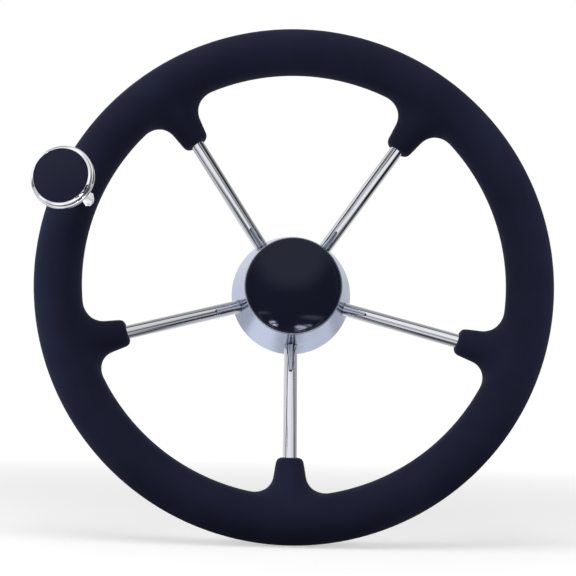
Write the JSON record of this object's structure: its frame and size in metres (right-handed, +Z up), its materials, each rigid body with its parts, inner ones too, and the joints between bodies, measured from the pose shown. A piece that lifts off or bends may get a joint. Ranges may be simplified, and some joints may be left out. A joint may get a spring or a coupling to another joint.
{
  "type": "stainless boat steering wheel",
  "caption": "Boat steering wheel with dished stainless spokes, a foam-covered rim, a conical hub with a black cap, and a spinning knob on the rim.",
  "frame": {"origin": "on the wheel's axis, at the rear face of the hub boss, where the helm shaft goes in", "axes": "+Y along the axis towards the helm (the driver faces the -Y side), +Z up, +X to the driver's right; one spoke points down"},
  "size_m": [0.343, 0.1572, 0.343],
  "materials": {
    "satin_steel": "fine satin, spun",
    "polished_steel": "mirror-polished stainless steel",
    "turned_steel": "as turned",
    "foam": "soft matt moulded foam skin",
    "gloss_black": "gloss",
    "satin_black": "satin",
    "seal_rubber": "smooth",
    "acetal": "natural"
  },
  "bodies": {
    "wheel": {"hub_shell": "satin_steel", "hub_boss": "turned_steel", "hub_plate": "turned_steel", "centre_cap": "gloss_black", "cap_sealing_ring": "seal_rubber", "spoke_1": "polished_steel", "spoke_2": "polished_steel", "spoke_3": "polished_steel", "spoke_4": "polished_steel", "spoke_5": "polished_steel", "rim_core": "turned_steel", "rim_grip": "foam", "knob_post": "polished_steel", "knob_thrust_washer": "turned_steel", "knob_washer": "turned_steel", "knob_lock_nut": "turned_steel"},
    "knob": {"knob_body": "polished_steel", "knob_insert": "satin_black", "knob_lower_bush": "acetal", "knob_upper_bush": "acetal"}
  },
  "joints": [
    {"name": "knob_spin", "type": "hinge", "parent": "wheel", "child": "knob", "pos_m": [-0.13729, -0.09735, 0.04727], "axis": [-0.0988, -0.9945, 0.034], "continuous": true}
  ]
}
